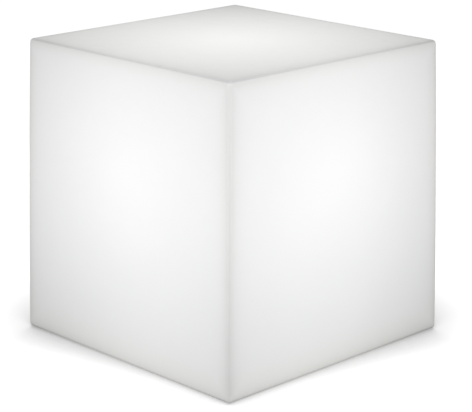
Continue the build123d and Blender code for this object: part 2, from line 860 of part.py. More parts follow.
with BuildPart() as battery_plug:
    with BuildSketch(Plane((header_x, 0, header_top - plug_proud))):
        Rectangle(plug_room_width - 2 * plug_fit, plug_room_depth - 2 * plug_fit)
    extrude(amount=2 * plug_proud)
battery_plug.part.label = "battery_plug"
export_step(battery_plug.part, "parts/battery_plug.step")

# ---------------------------------------------------------------- battery

cradle_outer = cell_offset + cell_radius + cradle_side
lead_slot_width = 2 * (cell_offset + lead_slot_margin)

with BuildPart() as battery_tray:
    with BuildSketch(Plane.XY.offset(tray_bottom)):
        Circle(housing_bore - tray_clearance)
        with PolarLocations(pillar_circle, pillar_count):
            Circle(pillar_radius + notch_clearance, mode=Mode.SUBTRACT)
        with PolarLocations(pillar_circle, pillar_count, start_angle=180 / pillar_count):
            Circle(m3_thread / 2 + hole_clearance, mode=Mode.SUBTRACT)
        with Locations((-tray_slot_x, 0)):
            Rectangle(housing_bore, lead_slot_width, align=(Align.MAX, Align.CENTER), mode=Mode.SUBTRACT)
        with Locations((0, grommet_y - grommet_outer)):
            Rectangle(lead_notch_width, housing_bore, align=(Align.CENTER, Align.MIN), mode=Mode.SUBTRACT)
    extrude(amount=tray_thickness)
    with BuildSketch(Plane.XY.offset(tray_top)):
        with GridLocations(cradle_spacing, 0, 2, 1):
            Rectangle(cradle_thickness, 2 * cradle_outer)
    extrude(amount=cradle_height)
    with BuildSketch(Plane.XY.offset(tray_bottom)):
        with GridLocations(0, 2 * clamp_screw_y, 1, 2):
            Circle(m25_head / 2 + hole_clearance)
    extrude(amount=-tray_boss_height)
    with BuildSketch(Plane.XY.offset(tray_top)):
        with GridLocations(0, 2 * clamp_screw_y, 1, 2):
            Circle(m25_thread / 2 + thread_clearance)
    extrude(amount=-tray_thickness - tray_boss_height, mode=Mode.SUBTRACT)
    with BuildSketch(Plane.YZ):
        with Locations((cell_offset, cell_z), (-cell_offset, cell_z)):
            Circle(cell_radius + cell_fit)
    extrude(amount=cell_length / 2, both=True, mode=Mode.SUBTRACT)
battery_tray.part.label = "battery_tray"
export_step(battery_tray.part, "parts/battery_tray.step")

tray_screw = pan_head_screw(m3_thread, tray_screw_length, m3_head, m3_head_height)
with BuildPart(Plane.XY.offset(tray_top)) as tray_screws:
    with PolarLocations(pillar_circle, pillar_count, start_angle=180 / pillar_count):
        add(tray_screw)
tray_screws.part.label = "tray_screws"
export_step(tray_screws.part, "parts/tray_screws.step")

groove_x = cell_length / 2 - cell_groove_inset
with BuildPart() as battery_cells:
    with BuildSketch(Plane.YZ):
        with Locations((cell_offset, cell_z), (-cell_offset, cell_z)):
            Circle(cell_radius)
    extrude(amount=cell_length / 2, both=True)
    with BuildSketch(Plane.YZ.offset(groove_x)):
        with Locations((cell_offset, cell_z)):
            Circle(cell_radius)
            Circle(cell_radius - cell_groove_depth, mode=Mode.SUBTRACT)
    extrude(amount=-cell_groove_width, mode=Mode.SUBTRACT)
    with BuildSketch(Plane.YZ.offset(-groove_x)):
        with Locations((-cell_offset, cell_z)):
            Circle(cell_radius)
            Circle(cell_radius - cell_groove_depth, mode=Mode.SUBTRACT)
    extrude(amount=cell_groove_width, mode=Mode.SUBTRACT)
battery_cells.part.label = "battery_cells"
export_step(battery_cells.part, "parts/battery_cells.step")

with BuildPart() as cell_straps:
    with BuildSketch(Plane.YZ.offset(cell_length / 2)):
        with Locations((0, cell_z)):
            Rectangle(2 * cell_offset + strap_tab_width, strap_height)
    extrude(amount=strap_thickness)
    with BuildSketch(Plane.YZ.offset(-cell_length / 2)):
        with Locations((cell_offset, cell_z), (-cell_offset, cell_z)):
            Rectangle(strap_tab_width, strap_height)
    extrude(amount=-strap_thickness)
cell_straps.part.label = "cell_straps"
export_step(cell_straps.part, "parts/cell_straps.step")

clamp_top = clamp_under + clamp_thickness
clamp_leg_outer = clamp_leg_y + clamp_thickness
clamp_tip = clamp_leg_outer + clamp_foot - clamp_thickness

with BuildPart() as battery_clamp:
    with BuildSketch(Plane.YZ):
        with BuildLine():
            Polyline(
                (clamp_tip, tray_top),
                (clamp_leg_y, tray_top),
                (clamp_leg_y, clamp_under),
                (-clamp_leg_y, clamp_under),
                (-clamp_leg_y, tray_top),
                (-clamp_tip, tray_top),
                (-clamp_tip, tray_top + clamp_thickness),
                (-clamp_leg_outer, tray_top + clamp_thickness),
                (-clamp_leg_outer, clamp_top),
                (clamp_leg_outer, clamp_top),
                (clamp_leg_outer, tray_top + clamp_thickness),
                (clamp_tip, tray_top + clamp_thickness),
                close=True,
            )
        make_face()
    extrude(amount=clamp_width / 2, both=True)
    fillet(battery_clamp.edges().filter_by(Axis.X).group_by(Axis.Z)[-1], clamp_thickness / 2)
    with BuildSketch(Plane.XY.offset(tray_top)):
        with GridLocations(0, 2 * clamp_screw_y, 1, 2):
            Circle(m25_thread / 2 + hole_clearance)
    extrude(amount=clamp_thickness, mode=Mode.SUBTRACT)
battery_clamp.part.label = "battery_clamp"
export_step(battery_clamp.part, "parts/battery_clamp.step")

clamp_screw = pan_head_screw(m25_thread, clamp_screw_length, m25_head, m25_head_height)
with BuildPart(Plane.XY.offset(tray_top + clamp_thickness)) as clamp_screws:
    with GridLocations(0, 2 * clamp_screw_y, 1, 2):
        add(clamp_screw)
clamp_screws.part.label = "clamp_screws"
export_step(clamp_screws.part, "parts/clamp_screws.step")

# ---------------------------------------------------------------- leads

strap_face = -cell_length / 2 - strap_thickness
low_run = plug_top + lead_rise
half_pitch = lead_pitch / 2
with BuildPart() as battery_leads:
    for side in (1, -1):
        add(
            lead(
                (strap_face, side * cell_offset, cell_z),
                (-lead_x, side * cell_offset, cell_z),
                (-lead_x, side * cell_offset, low_run),
                (header_x, side * half_pitch, low_run),
                (header_x, side * half_pitch, plug_top),
            )
        )
battery_leads.part.label = "battery_leads"
export_step(battery_leads.part, "parts/battery_leads.step")

socket_run = terminal_base + terminal_height - lead_solder_inset
with BuildPart() as socket_leads:
    for side in (1, -1):
        add(
            lead(
                (socket_x - terminal_width / 2, side * terminal_offset, socket_run),
                (pad_x, side * terminal_offset, socket_run),
                (pad_x, side * terminal_offset, board_top),
            )
        )
socket_leads.part.label = "socket_leads"
export_step(socket_leads.part, "parts/socket_leads.step")

led_run = board_top + led_lead_rise
connector_run = led_board_top + connector_height / 2
with BuildPart() as led_leads:
    for side in (1, -1):
        add(
            lead(
                (led_pad_x + side * half_pitch, led_pad_y, board_top),
                (led_pad_x + side * half_pitch, led_pad_y, led_run),
                (side * half_pitch, grommet_y, led_run),
                (side * half_pitch, grommet_y, connector_run),
                (side * half_pitch, connector_y + connector_depth / 2, connector_run),
            )
        )
led_leads.part.label = "led_leads"
export_step(led_leads.part, "parts/led_leads.step")

# ---------------------------------------------------------------- light source

with BuildPart() as led_plate:
    with BuildSketch(Plane.XY.offset(plate_bottom)):
        Circle(housing_bore - plate_clearance)
        with PolarLocations(pillar_circle, pillar_count):
            Circle(m3_thread / 2 + hole_clearance, mode=Mode.SUBTRACT)
        with PolarLocations(led_screw_radius, led_screw_count, start_angle=180 / inner_led_count):
            Circle(m3_thread / 2 + thread_clearance, mode=Mode.SUBTRACT)
        with Locations((0, grommet_y)):
            Circle(grommet_outer + thread_clearance, mode=Mode.SUBTRACT)
    extrude(amount=plate_thickness)
led_plate.part.label = "led_plate"
export_step(led_plate.part, "parts/led_plate.step")

with BuildPart() as wire_grommet:
    with BuildSketch(Plane((0, grommet_y, plate_bottom - grommet_lip_thickness))):
        Circle(grommet_outer + grommet_lip)
    extrude(amount=grommet_lip_thickness)
    with BuildSketch(Plane((0, grommet_y, plate_bottom))):
        Circle(grommet_outer)
    extrude(amount=plate_thickness)
    with BuildSketch(Plane((0, grommet_y, rim_z))):
        Circle(grommet_outer + grommet_lip)
    extrude(amount=grommet_lip_thickness)
    with BuildSketch(Plane((0, grommet_y, plate_bottom - grommet_lip_thickness))):
        Circle(grommet_bore)
    extrude(amount=plate_thickness + 2 * grommet_lip_thickness, mode=Mode.SUBTRACT)
wire_grommet.part.label = "wire_grommet"
export_step(wire_grommet.part, "parts/wire_grommet.step")

with BuildPart() as led_board:
    with BuildSketch(Plane.XY.offset(rim_z)):
        Circle(led_board_radius)
        with PolarLocations(led_screw_radius, led_screw_count, start_angle=180 / inner_led_count):
            Circle(m3_thread / 2 + hole_clearance, mode=Mode.SUBTRACT)
    extrude(amount=led_board_thickness)
led_board.part.label = "led_board"
export_step(led_board.part, "parts/led_board.step")

led_board_screw = pan_head_screw(m3_thread, led_screw_length, m3_head, m3_head_height)
with BuildPart(Plane.XY.offset(led_board_top)) as led_board_screws:
    with PolarLocations(led_screw_radius, led_screw_count, start_angle=180 / inner_led_count):
        add(led_board_screw)
led_board_screws.part.label = "led_board_screws"
export_step(led_board_screws.part, "parts/led_board_screws.step")

with BuildPart() as leds:
    with BuildSketch(Plane.XY.offset(led_board_top)):
        with PolarLocations(outer_led_radius, outer_led_count, start_angle=180 / outer_led_count):
            Rectangle(led_side, led_side)
        with PolarLocations(inner_led_radius, inner_led_count):
            Rectangle(led_side, led_side)
    extrude(amount=led_height)
    with BuildSketch(Plane.XY.offset(led_board_top + led_height)):
        with PolarLocations(outer_led_radius, outer_led_count, start_angle=180 / outer_led_count):
            Circle(led_lens_radius)
        with PolarLocations(inner_led_radius, inner_led_count):
            Circle(led_lens_radius)
    extrude(amount=-led_lens_depth, mode=Mode.SUBTRACT)
leds.part.label = "leds"
export_step(leds.part, "parts/leds.step")

with BuildPart() as led_connector:
    with BuildSketch(Plane((0, connector_y, led_board_top))):
        Rectangle(connector_width, connector_depth)
    extrude(amount=connector_height)
    chamfer(led_connector.edges().group_by(Axis.Z)[-1], connector_edge)
led_connector.part.label = "led_connector"
export_step(led_connector.part, "parts/led_connector.step")

# ---------------------------------------------------------------- dome

dome_outer = dome_inner + dome_wall
cap_radius = (dome_outer**2 + dome_height**2) / (2 * dome_height)
cap_centre = dome_flange_top + dome_height - cap_radius
cap_inner = sqrt((cap_radius - dome_wall) ** 2 - (dome_flange_top - cap_centre) ** 2)

with BuildPart() as dome_gasket:
    add(flat_ring(housing_radius, dome_outer, rim_z, dome_gasket_thickness))
    with BuildSketch(Plane.XY.offset(rim_z)):
        with PolarLocations(pillar_circle, pillar_count):
            Circle(m3_thread / 2 + hole_clearance)
    extrude(amount=dome_gasket_thickness, mode=Mode.SUBTRACT)
dome_gasket.part.label = "dome_gasket"
export_step(dome_gasket.part, "parts/dome_gasket.step")

with BuildPart() as dome:
    with BuildSketch(Plane.XZ):
        with Locations((0, cap_centre)):
            Circle(cap_radius)
            Circle(cap_radius - dome_wall, mode=Mode.SUBTRACT)
        with Locations((0, dome_flange_top)):
            Rectangle(cap_radius, dome_height, align=(Align.MIN, Align.MIN), mode=Mode.INTERSECT)
        with Locations((cap_inner, dome_seat)):
            Rectangle(housing_radius - cap_inner, dome_flange_thickness, align=(Align.MIN, Align.MIN))
    revolve(axis=Axis.Z)
    with BuildSketch(Plane.XY.offset(dome_seat)):
        with PolarLocations(pillar_circle, pillar_count):
            Circle(m3_thread / 2 + hole_clearance)
    extrude(amount=dome_flange_thickness, mode=Mode.SUBTRACT)
dome.part.label = "dome"
export_step(dome.part, "parts/dome.step")

dome_screw = pan_head_screw(m3_thread, dome_screw_length, m3_head, m3_head_height)
with BuildPart(Plane.XY.offset(dome_flange_top)) as dome_screws:
    with PolarLocations(pillar_circle, pillar_count):
        add(dome_screw)
dome_screws.part.label = "dome_screws"
export_step(dome_screws.part, "parts/dome_screws.step")
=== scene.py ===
import json
from math import cos, hypot, pi, radians, sin, sqrt

import bmesh
import bpy
from mathutils import Matrix, Vector


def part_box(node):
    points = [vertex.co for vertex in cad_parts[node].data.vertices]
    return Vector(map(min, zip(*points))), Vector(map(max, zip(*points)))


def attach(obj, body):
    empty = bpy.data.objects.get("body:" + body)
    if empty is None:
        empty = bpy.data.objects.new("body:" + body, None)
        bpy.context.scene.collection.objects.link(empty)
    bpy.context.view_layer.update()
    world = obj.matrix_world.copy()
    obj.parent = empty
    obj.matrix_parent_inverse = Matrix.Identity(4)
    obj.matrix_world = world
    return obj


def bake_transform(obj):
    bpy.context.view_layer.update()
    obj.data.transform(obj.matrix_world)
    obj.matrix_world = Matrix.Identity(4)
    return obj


# A lit cube light of milky moulded plastic on a white floor. Metres, +Z up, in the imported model's frame.

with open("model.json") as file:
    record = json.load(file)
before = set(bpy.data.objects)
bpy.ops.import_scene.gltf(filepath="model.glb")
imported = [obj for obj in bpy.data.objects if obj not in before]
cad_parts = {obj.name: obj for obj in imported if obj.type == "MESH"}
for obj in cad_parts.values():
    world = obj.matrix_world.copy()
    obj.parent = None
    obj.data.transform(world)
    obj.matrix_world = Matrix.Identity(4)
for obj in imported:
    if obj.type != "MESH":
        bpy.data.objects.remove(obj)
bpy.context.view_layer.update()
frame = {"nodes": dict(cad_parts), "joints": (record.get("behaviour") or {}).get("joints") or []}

# ---------------------------------------------------------------- sizes

shade_low, shade_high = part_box("cube_shell")
side = shade_high.z - shade_low.z
half = side / 2
middle_z = shade_low.z + half

# Places inside the light unit: the LEDs and the screws stand on circles round the cube's upright axis
led_outer_circle = 0.02405
led_outer_count = 12
led_inner_circle = 0.012
led_inner_count = 6
led_screw_circle = 0.018
led_screw_count = 3
led_pad_y = 0.020
lead_pitch = 0.0026
lead_thickness = 0.0014
can_spacing = 0.0094
grommet_y = sum(corner.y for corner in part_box("wire_grommet")) / 2
board_top_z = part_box("control_board")[1].z
tinned_height = 0.001
tinned_end_z = board_top_z + tinned_height

# The photograph is 472 pixels wide and was taken with a shifted lens, so upright edges stay parallel in it
photo_width = 472
lens_pixels = 1860.7
lens_drop_pixels = 477.3
lens_pitch = radians(1.327)
lens_roll = radians(0.138)
camera_azimuth = radians(45.611)
camera_distance = 2.5544
camera_side_step = 0.0034
camera_height = 0.8877

white = (1.0, 1.0, 1.0)
black = (0.0, 0.0, 0.0)

# How the shade's glow is painted on, as linear light: the light from inside, most near the middle of a face
# and less towards its rim, with painted shade along its edges and a little painted light at the foot for what
# the floor throws back. Widths and the foot's height are in metres, and the glow's middle is raised by a
# share of half a side.
glow_peak = 0.499
glow_side_loss = 0.179
glow_top_loss = 0.1975
glow_top_drop = 0.039
glow_rim_power = 0.71
glow_edge_loss = 0.16
glow_edge_width = 0.0022
glow_band_loss = 0.167
glow_band_width = 0.0089
glow_level_share = 0.75
glow_corner_blend = 0.05
painted_floor_light_gain = 0.03
glow_foot_height = 0.03
glow_centre_rise = 0.226
glow_least = 0.03

# The painted glow's tint: slightly cool low on the sides, slightly warm along the edges, at the foot and on
# the lid
cool_tint = (0.98, 0.985, 1.0)
cool_low_z = 0.25 * side
cool_high_z = 0.6 * side
warm_tint = (1.0, 0.995, 0.93)
warm_lid_share = 0.5

floor_half = 6.0
floor_grey = 0.8
floor_lift = 0.56

# The floor's soft shadow is painted into its colour and its lift: short in front of the cube, and long and
# deep behind it. It grows between two places, in metres behind the cube's middle as the camera sees it.
shadow_front, shadow_back = -0.2, 0.05
shadow_reach_front, shadow_reach_back = 0.04, 0.18
shadow_depth_front, shadow_depth_back = 0.3, 0.5

# The world's light, and how white it looks where it is seen
world_light = 0.6
world_seen = 1.0

# Moulded plastic changes its tone and its gloss slowly, in cells per metre
tone_scale = 28.0
gloss_scale = 112.0

# ---------------------------------------------------------------- material helpers


class Finish:
    """A node material: one Principled shader, and short calls for the nodes that feed it."""

    def __init__(self, name, **sockets):
        self.material = bpy.data.materials.new(name)
        self.material.use_nodes = True
        self.tree = self.material.node_tree
        self.shader = self.tree.nodes["Principled BSDF"]
        self.place = self.add("ShaderNodeTexCoord").outputs["Object"]
        for socket, value in sockets.items():
            self.set(socket.replace("_", " "), value)

    def add(self, kind, **settings):
        """A new node, with its settings."""
        node = self.tree.nodes.new(kind)
        for name, value in settings.items():
            setattr(node, name, value)
        return node

    def feed(self, socket, value):
        """Links a socket to a node's output, or sets it to a plain value."""
        if isinstance(value, bpy.types.NodeSocket):
            self.tree.links.new(value, socket)
        elif socket.type == "RGBA":
            socket.default_value = (*value, 1.0)
        else:
            socket.default_value = value

    def set(self, name, value):
        """Feeds one of the shader's own sockets."""
        self.feed(self.shader.inputs[name], value)

    def maths(self, operation, *values, clamp=False):
        """One step of arithmetic on numbers or on other nodes' outputs."""
        node = self.add("ShaderNodeMath", operation=operation, use_clamp=clamp)
        for socket, value in zip(node.inputs, values):
            self.feed(socket, value)
        return node.outputs[0]

    def axes(self, place=None):
        """The X, Y and Z of a place."""
        node = self.add("ShaderNodeSeparateXYZ")
        self.feed(node.inputs[0], place or self.place)
        return node.outputs[0], node.outputs[1], node.outputs[2]

    def noise(self, scale, detail=3.0, roughness=0.5, place=None):
        """Smooth noise from 0 to 1, with scale in cells per metre."""
        node = self.add("ShaderNodeTexNoise")
        self.feed(node.inputs["Vector"], place or self.place)
        self.feed(node.inputs["Scale"], scale)
        self.feed(node.inputs["Detail"], detail)
        self.feed(node.inputs["Roughness"], roughness)
        return node.outputs["Fac"]

    def cells(self, scale, place=None, **settings):
        """Irregular cells, with scale in cells per metre."""
        node = self.add("ShaderNodeTexVoronoi", **settings)
        self.feed(node.inputs["Vector"], place or self.place)
        self.feed(node.inputs["Scale"], scale)
        return node.outputs

    def stretch(self, x, y, z):
        """The object's place with each axis scaled, for streaks and turned lines."""
        node = self.add("ShaderNodeMapping")
        self.feed(node.inputs["Vector"], self.place)
        self.feed(node.inputs["Scale"], (x, y, z))
        return node.outputs["Vector"]

    def between(self, value, low, high, new_low, new_high):
        """Maps a value from one range to another, held at the ends."""
        node = self.add("ShaderNodeMapRange")
        for socket, number in zip(node.inputs, (value, low, high, new_low, new_high)):
            self.feed(socket, number)
        return node.outputs[0]

    def spread(self, noise, low, high):
        """Maps a noise, which seldom leaves 0.3 to 0.7, to a whole range."""
        return self.between(noise, 0.3, 0.7, low, high)

    def blend(self, share, first, second):
        """A colour between two colours."""
        node = self.add("ShaderNodeMix", data_type="RGBA")
        self.feed(node.inputs["Factor"], share)
        self.feed(node.inputs["A"], first)
        self.feed(node.inputs["B"], second)
        return node.outputs["Result"]

    def mottle(self, scale, light, dark, detail=3.0):
        """A colour that changes slowly between two tones."""
        return self.blend(self.noise(scale, detail), light, dark)

    def gloss(self, scale, low, high):
        """Sets a roughness that changes slowly between two values."""
        self.set("Roughness", self.spread(self.noise(scale), low, high))

    def relief(self, height, depth):
        """Sets a bump normal, with depth in metres for a height of 1."""
        node = self.add("ShaderNodeBump")
        self.feed(node.inputs["Strength"], 1.0)
        self.feed(node.inputs["Distance"], depth)
        self.feed(node.inputs["Height"], height)
        self.set("Normal", node.outputs["Normal"])

    def shine(self, tint, strength):
        """Sets a glow, as a tint times a strength that may change from place to place."""
        scaled = self.add("ShaderNodeVectorMath", operation="SCALE")
        self.feed(scaled.inputs[0], tint)
        self.feed(scaled.inputs["Scale"], strength)
        self.set("Emission Color", scaled.outputs[0])
        self.set("Emission Strength", 1.0)

    def off(self, value, centre):
        """How far a value is from a centre, either way."""
        return self.maths("ABSOLUTE", self.maths("SUBTRACT", value, centre))

    def distance(self, u, v):
        """How far a point is from an axis, from its two offsets."""
        maths = self.maths
        return maths("SQRT", maths("MULTIPLY_ADD", u, u, maths("MULTIPLY", v, v)))

    def ringed(self, x, y, radius, count, start=0.0):
        """How far a point is from the nearest of some centres that stand evenly round the middle."""
        maths = self.maths
        step = 2 * pi / count
        turned = maths("SUBTRACT", maths("ARCTAN2", y, x), start)
        off = maths("WRAP", turned, step / 2, -step / 2)
        reach = self.distance(x, y)
        ahead = maths("SUBTRACT", maths("MULTIPLY", reach, maths("COSINE", off)), radius)
        return self.distance(ahead, maths("MULTIPLY", reach, maths("SINE", off)))

    def inside(self, value, limit, soft=0.0001):
        """1 where a value is under a limit, and 0 where it is over."""
        return self.between(value, limit - soft, limit + soft, 1.0, 0.0)

    def facing(self, axis):
        """How squarely the surface faces along an axis, from 0 to 1."""
        normal = self.add("ShaderNodeNewGeometry").outputs["Normal"]
        return self.maths("ABSOLUTE", self.axes(normal)[axis])


def dress(finish, *nodes):
    """Puts a finish on CAD nodes."""
    for name in nodes:
        mesh = frame["nodes"][name].data
        mesh.materials.clear()
        mesh.materials.append(finish.material)


# ---------------------------------------------------------------- the shade


def face_loss(finish, across, along, level, is_lid):
    """How much of the glow is lost from a face's middle towards its rim."""
    maths = finish.maths
    # How far a point is from the glow's middle on its own face, squared: about 1 at the middle of an edge
    nearer = maths("MINIMUM", across, along)
    raised = maths("SUBTRACT", level, glow_centre_rise)
    on_side = maths("MULTIPLY_ADD", nearer, nearer, maths("MULTIPLY", raised, raised))
    on_lid = maths("MULTIPLY_ADD", across, across, maths("MULTIPLY", along, along))
    side_loss = maths("MULTIPLY", maths("POWER", on_side, glow_rim_power), glow_side_loss)
    lid_share = maths("POWER", on_lid, glow_rim_power)
    lid_loss = maths("MULTIPLY_ADD", lid_share, glow_top_loss, glow_top_drop)
    return maths("MULTIPLY_ADD", maths("SUBTRACT", lid_loss, side_loss), is_lid, side_loss)


def milky_shade():
    """Rotationally moulded milky plastic; its light from inside is painted on as a glow. Places are in halves
    of the cube's side.
    """
    finish = Finish("milky_shade", IOR=1.5, Specular_IOR_Level=0.2)
    maths = finish.maths
    x, y, z = finish.axes()
    across = maths("ABSOLUTE", maths("DIVIDE", x, half))
    along = maths("ABSOLUTE", maths("DIVIDE", y, half))
    level = maths("DIVIDE", maths("SUBTRACT", z, middle_z), half)
    height = maths("ABSOLUTE", level)
    nearer = maths("MINIMUM", across, along)
    further = maths("MAXIMUM", across, along)
    is_lid = maths("GREATER_THAN", level, further)
    # How near an edge a point is: the middle one of its three distances from the cube's middle
    middle_one = maths("MAXIMUM", nearer, maths("MINIMUM", further, height))
    from_edge = maths("MULTIPLY", maths("SUBTRACT", middle_one, 1.0), half)
    # Along the edges the glow is lowered: painted shade, darkest right at the edge and fading over a wider
    # band
    at_edge = maths("EXPONENT", maths("DIVIDE", from_edge, glow_edge_width))
    near_edge = maths("EXPONENT", maths("DIVIDE", from_edge, glow_band_width))
    band_loss = maths("MULTIPLY", near_edge, glow_band_loss)
    painted_edge_shade = maths("MULTIPLY_ADD", at_edge, glow_edge_loss, band_loss)
    # The painted shade on the edges of the lid and of the foot is less than on the upright ones
    upright = maths("SUBTRACT", nearer, height)
    edge_share = finish.between(upright, -glow_corner_blend, glow_corner_blend, glow_level_share, 1.0)
    painted_edge_shade = maths("MULTIPLY", painted_edge_shade, edge_share)
    # At the foot the glow is raised: painted light for what the floor throws back
    above_foot = maths("SUBTRACT", z, shade_low.z)
    at_foot = maths("EXPONENT", maths("DIVIDE", above_foot, -glow_foot_height))
    painted_floor_light = maths("MULTIPLY", at_foot, painted_floor_light_gain)
    losses = maths("ADD", face_loss(finish, across, along, level, is_lid), painted_edge_shade)
    losses = maths("SUBTRACT", losses, painted_floor_light)
    glow = maths("MAXIMUM", maths("SUBTRACT", glow_peak, losses), glow_least)
    cool = finish.between(z, cool_low_z, cool_high_z, 1.0, 0.0)
    warm = maths("MAXIMUM", at_foot, maths("MULTIPLY", is_lid, warm_lid_share))
    warm = maths("ADD", near_edge, warm, clamp=True)
    tint = finish.blend(warm, finish.blend(cool, white, cool_tint), warm_tint)
    # The light from inside is painted on the shell as this glow
    finish.shine(tint, glow)
    finish.set("Base Color", finish.mottle(9.0, (0.54, 0.54, 0.54), (0.57, 0.57, 0.57)))
    finish.gloss(60.0, 0.5, 0.6)
    finish.relief(finish.noise(420.0, detail=4.0), 0.00004)
    return finish


dress(milky_shade(), "cube_shell")

# ---------------------------------------------------------------- finishes for several pieces


def grained(name, low, high, grain=1500.0, depth=0.00003):
    """Moulded plastic before it has a colour: a fine eroded grain, and slow changes of gloss."""
    finish = Finish(name)
    finish.gloss(gloss_scale, low, high)
    finish.relief(finish.noise(grain, detail=2.0), depth)
    return finish


def moulded(name, light, dark, low, high):
    """Moulded plastic in one colour, with slow changes of tone."""
    finish = grained(name, low, high)
    finish.set("Base Color", finish.mottle(tone_scale, light, dark, detail=2.0))
    return finish


def rubber(name, light, dark, dust, low=0.6, high=0.8):
    """Soft rubber: matt, faintly pitted, with pale dust caught in patches."""
    finish = Finish(name, Sheen_Weight=0.15, Sheen_Roughness=0.6)
    body = finish.mottle(45.0, light, dark, detail=2.0)
    specks = finish.between(finish.noise(900.0, detail=4.0), 0.58, 0.7, 0.0, 0.55)
    finish.set("Base Color", finish.blend(specks, body, dust))
    finish.gloss(120.0, low, high)
    finish.relief(finish.noise(2200.0, detail=3.0), 0.00004)
    return finish


def worn_metal(name, bright, dull, low, high, streak, scratched=True):
    """Worked metal: streaks along its working direction, dull patches and, on plain faces, fine scratches."""
    finish = Finish(name, Metallic=1.0)
    maths = finish.maths
    streaks = finish.noise(1.0, detail=4.0, roughness=0.6, place=finish.stretch(*streak))
    patches = finish.noise(70.0)
    finish.set("Base Color", finish.blend(maths("MULTIPLY", streaks, patches), bright, dull))
    wear = maths("MULTIPLY_ADD", streaks, 0.5, maths("MULTIPLY", patches, 0.5))
    finish.set("Roughness", finish.spread(wear, low, high))
    if scratched:
        finish.relief(streaks, 0.000008)
    return finish


def threaded_steel(name, node, pitch, head, head_up=True):
    """Zinc-plated screws: bright heads, and threads on the shanks."""
    finish = worn_metal(
        name, (0.66, 0.67, 0.68), (0.42, 0.43, 0.45), 0.24, 0.42, (500.0, 700.0, 500.0), scratched=False
    )
    maths = finish.maths
    low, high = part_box(node)
    z = finish.axes()[2]
    if head_up:
        shank = finish.inside(z, high.z - head)
    else:
        shank = maths("SUBTRACT", 1.0, finish.inside(z, low.z + head))
    turns = maths("ABSOLUTE", maths("SINE", maths("MULTIPLY", z, pi / pitch)))
    thread_depth = 0.35 * pitch
    finish.relief(maths("MULTIPLY", turns, shank), thread_depth)
    dress(finish, node)


# ---------------------------------------------------------------- outside of the light unit


def underside_plastic():
    """The housing's white plastic, with flow marks round its gate and dust towards the flange's rim."""
    finish = grained("housing_plastic", 0.38, 0.55, depth=0.00004)
    maths = finish.maths
    mark_turns, mark_waver = 650.0, 0.004
    dust_start, dust_end = 0.055, 0.074
    x, y, _ = finish.axes()
    reach = finish.distance(x, y)
    wavering = maths("ADD", reach, maths("MULTIPLY", finish.noise(30.0), mark_waver))
    rings = maths("SINE", maths("MULTIPLY", wavering, mark_turns))
    faint = maths("MULTIPLY", finish.between(rings, -1.0, 1.0, 0.0, 0.3), finish.noise(40.0))
    body = finish.blend(faint, (0.80, 0.80, 0.79), (0.70, 0.71, 0.72))
    specks = finish.between(finish.noise(350.0, detail=4.0), 0.45, 0.7, 0.0, 1.0)
    dust = maths("MULTIPLY", finish.between(reach, dust_start, dust_end, 0.0, 0.5), specks)
    finish.set("Base Color", finish.blend(dust, body, (0.60, 0.58, 0.54)))
    return finish


def button_plastic():
    """The button's pale grey cap. Its sunken mark holds darker paint."""
    finish = grained("button_plastic", 0.3, 0.42)
    mark_depth, mark_near, mark_soft = 0.0003, 0.00008, 0.00002
    mark_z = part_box("button_cap")[0].z + mark_depth
    from_mark = finish.off(finish.axes()[2], mark_z)
    flat = finish.between(finish.facing(2), 0.9, 0.99, 0.0, 1.0)
    sunken = finish.maths("MULTIPLY", finish.inside(from_mark, mark_near, mark_soft), flat)
    cap = finish.mottle(60.0, (0.62, 0.63, 0.64), (0.53, 0.54, 0.55))
    finish.set("Base Color", finish.blend(sunken, cap, (0.05, 0.055, 0.06)))
    return finish


def milky_guide():
    """Half clear acrylic, a little milky so that it spreads its light, with faint scuffs."""
    finish = Finish("clear_plastic", Transmission_Weight=0.5, IOR=1.49)
    finish.set("Base Color", finish.mottle(200.0, (0.88, 0.91, 0.89), (0.80, 0.84, 0.82)))
    scuffs = finish.noise(700.0, detail=4.0)
    finish.set("Roughness", finish.between(scuffs, 0.4, 0.7, 0.05, 0.2))
    finish.relief(finish.noise(500.0), 0.00001)
    return finish


dress(underside_plastic(), "housing")
dress(button_plastic(), "button_cap")
dress(milky_guide(), "indicator_lens")
foot_rubber = rubber("foot_rubber", (0.50, 0.50, 0.49), (0.42, 0.42, 0.41), (0.66, 0.65, 0.62))
dress(foot_rubber, "rubber_feet")
black_rubber = rubber("black_rubber", (0.035, 0.035, 0.037), (0.02, 0.02, 0.022), (0.12, 0.12, 0.12))
dress(black_rubber, "button_o_ring", "wire_grommet")
seals = rubber("seal_silicone", (0.62, 0.63, 0.64), (0.50, 0.51, 0.52), (0.72, 0.71, 0.70), 0.45, 0.65)
dress(seals, "housing_gasket", "screw_seals", "socket_washer", "dome_gasket")
flap_silicone = rubber("flap_silicone", (0.58, 0.58, 0.58), (0.50, 0.50, 0.51), (0.68, 0.67, 0.65), 0.5, 0.7)
dress(flap_silicone, "socket_flap", "flap_anchor")
threaded_steel("mount_screw_steel", "housing_screws", 0.0007, 0.0026, head_up=False)

# ---------------------------------------------------------------- inside of the light unit


def knurled_brass():
    """Brass inserts: turned brass with crossed knurling."""
    finish = worn_metal(
        "insert_brass", (0.86, 0.66, 0.34), (0.62, 0.46, 0.22), 0.25, 0.42, (60.0, 60.0, 2600.0),
        scratched=False,
    )
    maths = finish.maths
    knurl_turns = 7000.0
    x, y, z = finish.axes()
    round_way = maths("ADD", x, y)
    rise = maths("SINE", maths("MULTIPLY", maths("ADD", round_way, z), knurl_turns))
    fall = maths("SINE", maths("MULTIPLY", maths("SUBTRACT", round_way, z), knurl_turns))
    finish.relief(maths("MULTIPLY", rise, fall), 0.00008)
    dress(finish, "shell_inserts")


